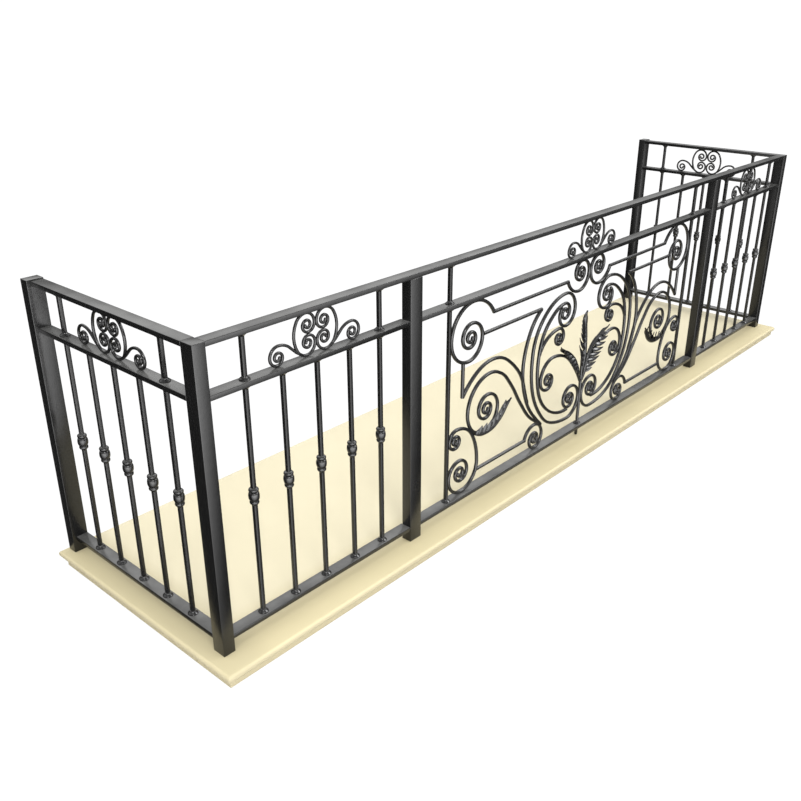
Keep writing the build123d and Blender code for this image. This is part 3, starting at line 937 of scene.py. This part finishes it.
for socket in steep.inputs[:2]:
    tree.links.new(out_front.outputs["Result"], socket)
tree.links.new(steep.outputs[0], glow.inputs[0])
tree.links.new(rays.outputs["Is Glossy Ray"], glow.inputs[1])
tree.links.new(rays.outputs["Is Camera Ray"], glow.inputs[2])
ground.inputs["Emission Color"].default_value = (1, 1, 1, 1)
tree.links.new(glow.outputs[0], ground.inputs["Emission Strength"])
tree.links.new(
    mixed(tree, rays.outputs["Is Diffuse Ray"], (0.03, 0.03, 0.03), (0.9, 0.9, 0.9)),
    ground.inputs["Base Color"],
)
floor_mesh.materials.append(pale)
floor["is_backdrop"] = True

# LIGHT
# White seen behind the railing. The stone is lit by an even overcast sky; in the sheen of
# the paint the sky is dim at the horizon and brightest half way up, so that rails shine on
# top and their sides stay dark.
world = bpy.data.worlds.new("studio")
bpy.context.scene.world = world
world.use_nodes = True
tree = world.node_tree
tree.nodes.clear()
out, rays = tree.nodes.new("ShaderNodeOutputWorld"), tree.nodes.new("ShaderNodeLightPath")
where, split = tree.nodes.new("ShaderNodeTexCoord"), tree.nodes.new("ShaderNodeSeparateXYZ")
tree.links.new(where.outputs["Generated"], split.inputs[0])
lean = tree.nodes.new("ShaderNodeVectorMath")
lean.operation = "DOT_PRODUCT"
lean.inputs[1].default_value = (-0.10, -0.30, 0.95)
tree.links.new(where.outputs["Generated"], lean.inputs[0])


def sky(strength, height, marks):
    """A grey sky of its own; marks gives its brightness at each height."""
    ramp, glow = tree.nodes.new("ShaderNodeValToRGB"), tree.nodes.new("ShaderNodeBackground")
    while len(ramp.color_ramp.elements) < len(marks):
        ramp.color_ramp.elements.new(0.5)
    for element, (place, grey) in zip(ramp.color_ramp.elements, marks):
        element.position = place
        element.color = (grey, grey, grey, 1)
    tree.links.new(height, ramp.inputs[0])
    tree.links.new(ramp.outputs["Color"], glow.inputs["Color"])
    glow.inputs["Strength"].default_value = strength
    return glow.outputs[0]


overcast = ((0.0, 0.12), (0.5, 0.5), (1.0, 1.0))
in_the_sheen = ((0.0, 0.06), (0.2, 0.12), (0.42, 0.55), (0.6, 0.8), (0.85, 0.3))
white = ((0.0, 1.0), (1.0, 1.0))
shown, climb = sky(2.6, lean.outputs["Value"], overcast), split.outputs["Z"]
for ray, other in (
    ("Is Glossy Ray", sky(2.3, climb, in_the_sheen)), ("Is Camera Ray", sky(1.0, climb, white)),
):
    pick = tree.nodes.new("ShaderNodeMixShader")
    tree.links.new(rays.outputs[ray], pick.inputs[0])
    tree.links.new(shown, pick.inputs[1])
    tree.links.new(other, pick.inputs[2])
    shown = pick.outputs[0]
tree.links.new(shown, out.inputs["Surface"])

# A lamp high beside the camera lights all of it, and two panes that only the paint reflects:
# one along the street, and one on the right that glints in the lobes of the leaves
for name, width, height, power, place, aim, on_stone in (
    ("key", 3.2, 2.4, 800, (-6.9, -9.1, 8.5), (0, 0, 0.3), True),
    ("pane", 7, 4, 220, (-6.5, -8.0, 3.0), (0, 0, 0.6), False),
    ("glint", 5, 4.5, 950, (7.2, -7.2, 7.2), (0, 0, 0.6), False),
):
    light = bpy.data.lights.new(name, "AREA")
    light.shape = "RECTANGLE"
    light.size, light.size_y, light.energy = width, height, power
    lamp = bpy.data.objects.new(name, light)
    lamp.location = place
    lamp.rotation_euler = (Vector(aim) - lamp.location).to_track_quat("-Z", "Y").to_euler()
    lamp.visible_diffuse = on_stone
    bpy.context.scene.collection.objects.link(lamp)

# CAMERA
# Eye level of somebody 1.8 m above the slab, out past the left front corner.
lens = bpy.data.cameras.new("camera")
lens.sensor_width = 36
lens.lens = 40.061
lens.clip_end = 1000
camera = bpy.data.objects.new("camera", lens)
camera.location = (corner.x - 1.2074, corner.y - 1.8174, deck + 1.8070)
camera.rotation_euler = (radians(65.578), radians(0.145), radians(-47.720))
bpy.context.scene.collection.objects.link(camera)
bpy.context.scene.camera = camera
bpy.context.scene.view_settings.view_transform = "Standard"

low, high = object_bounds()
